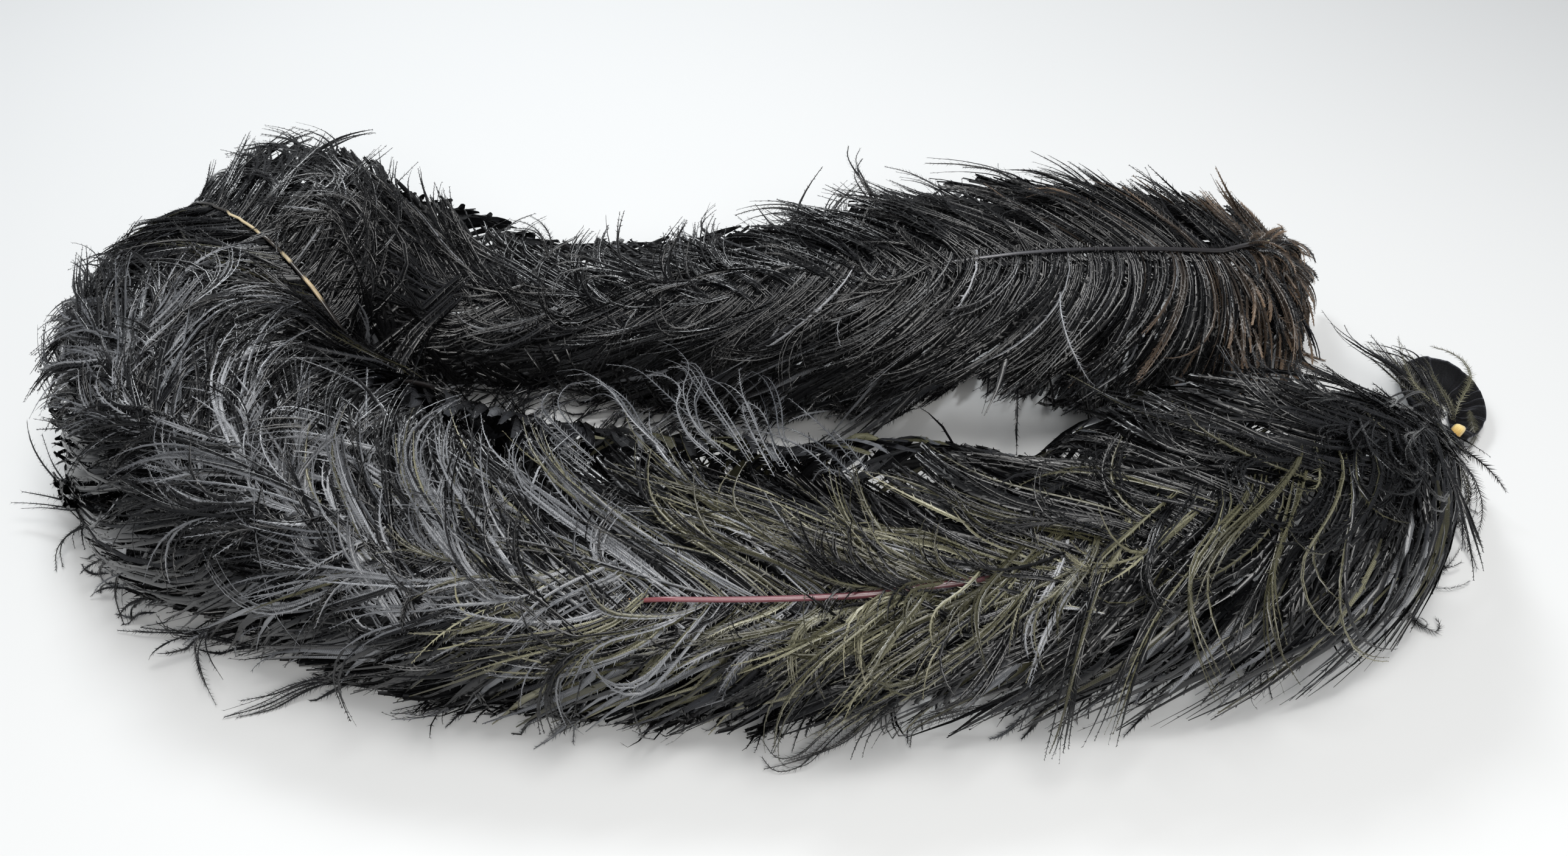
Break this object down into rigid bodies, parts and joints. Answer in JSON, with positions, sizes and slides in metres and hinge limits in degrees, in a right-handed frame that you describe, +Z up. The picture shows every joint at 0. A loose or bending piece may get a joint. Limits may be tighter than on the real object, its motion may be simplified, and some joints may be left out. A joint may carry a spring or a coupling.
{
  "type": "ostrich feather boa",
  "caption": "Black dyed ostrich plume boa lying folded in a U, its plumes overlapping like roof tiles and stitched at the quills, with a velvet ribbon loop at one end.",
  "frame": {"origin": "centre of the footprint's bounding box, on the surface the boa lies on", "axes": "+Z up from the surface; +X from the bend towards the two free ends; +Y from the run with the ribbon loop towards the other run"},
  "size_m": [0.9858, 0.4948, 0.1384],
  "materials": {
    "feather_black": "soft dyed barbs, near black with a blue grey sheen",
    "feather_olive": "soft dyed barbs, faded to olive brown",
    "feather_brown_tipped": "soft dyed barbs, black with rusty brown tips near the base",
    "quill": "keratin, waxy amber where cut, dyed near black along the shaft",
    "velvet": "black silk velvet ribbon with short pile",
    "thread": "twisted black sewing thread"
  },
  "bodies": {
    "root": {"plume_near_1_top": "feather_black", "plume_near_1_under": "feather_black", "plume_near_2_top": "feather_olive", "plume_near_2_under": "feather_olive", "plume_near_3_top": "feather_black", "plume_near_3_under": "feather_black", "plume_near_4_top": "feather_black", "plume_near_4_under": "feather_black", "plume_far_3_top": "feather_black", "plume_far_3_under": "feather_black", "plume_far_2_top": "feather_black", "plume_far_2_under": "feather_black", "plume_far_1_top": "feather_brown_tipped", "plume_far_1_under": "feather_brown_tipped", "velvet_loop": "velvet", "binding_thread": "thread", "stitch_1": "thread", "stitch_2": "thread", "stitch_3": "thread"}
  },
  "joints": []
}
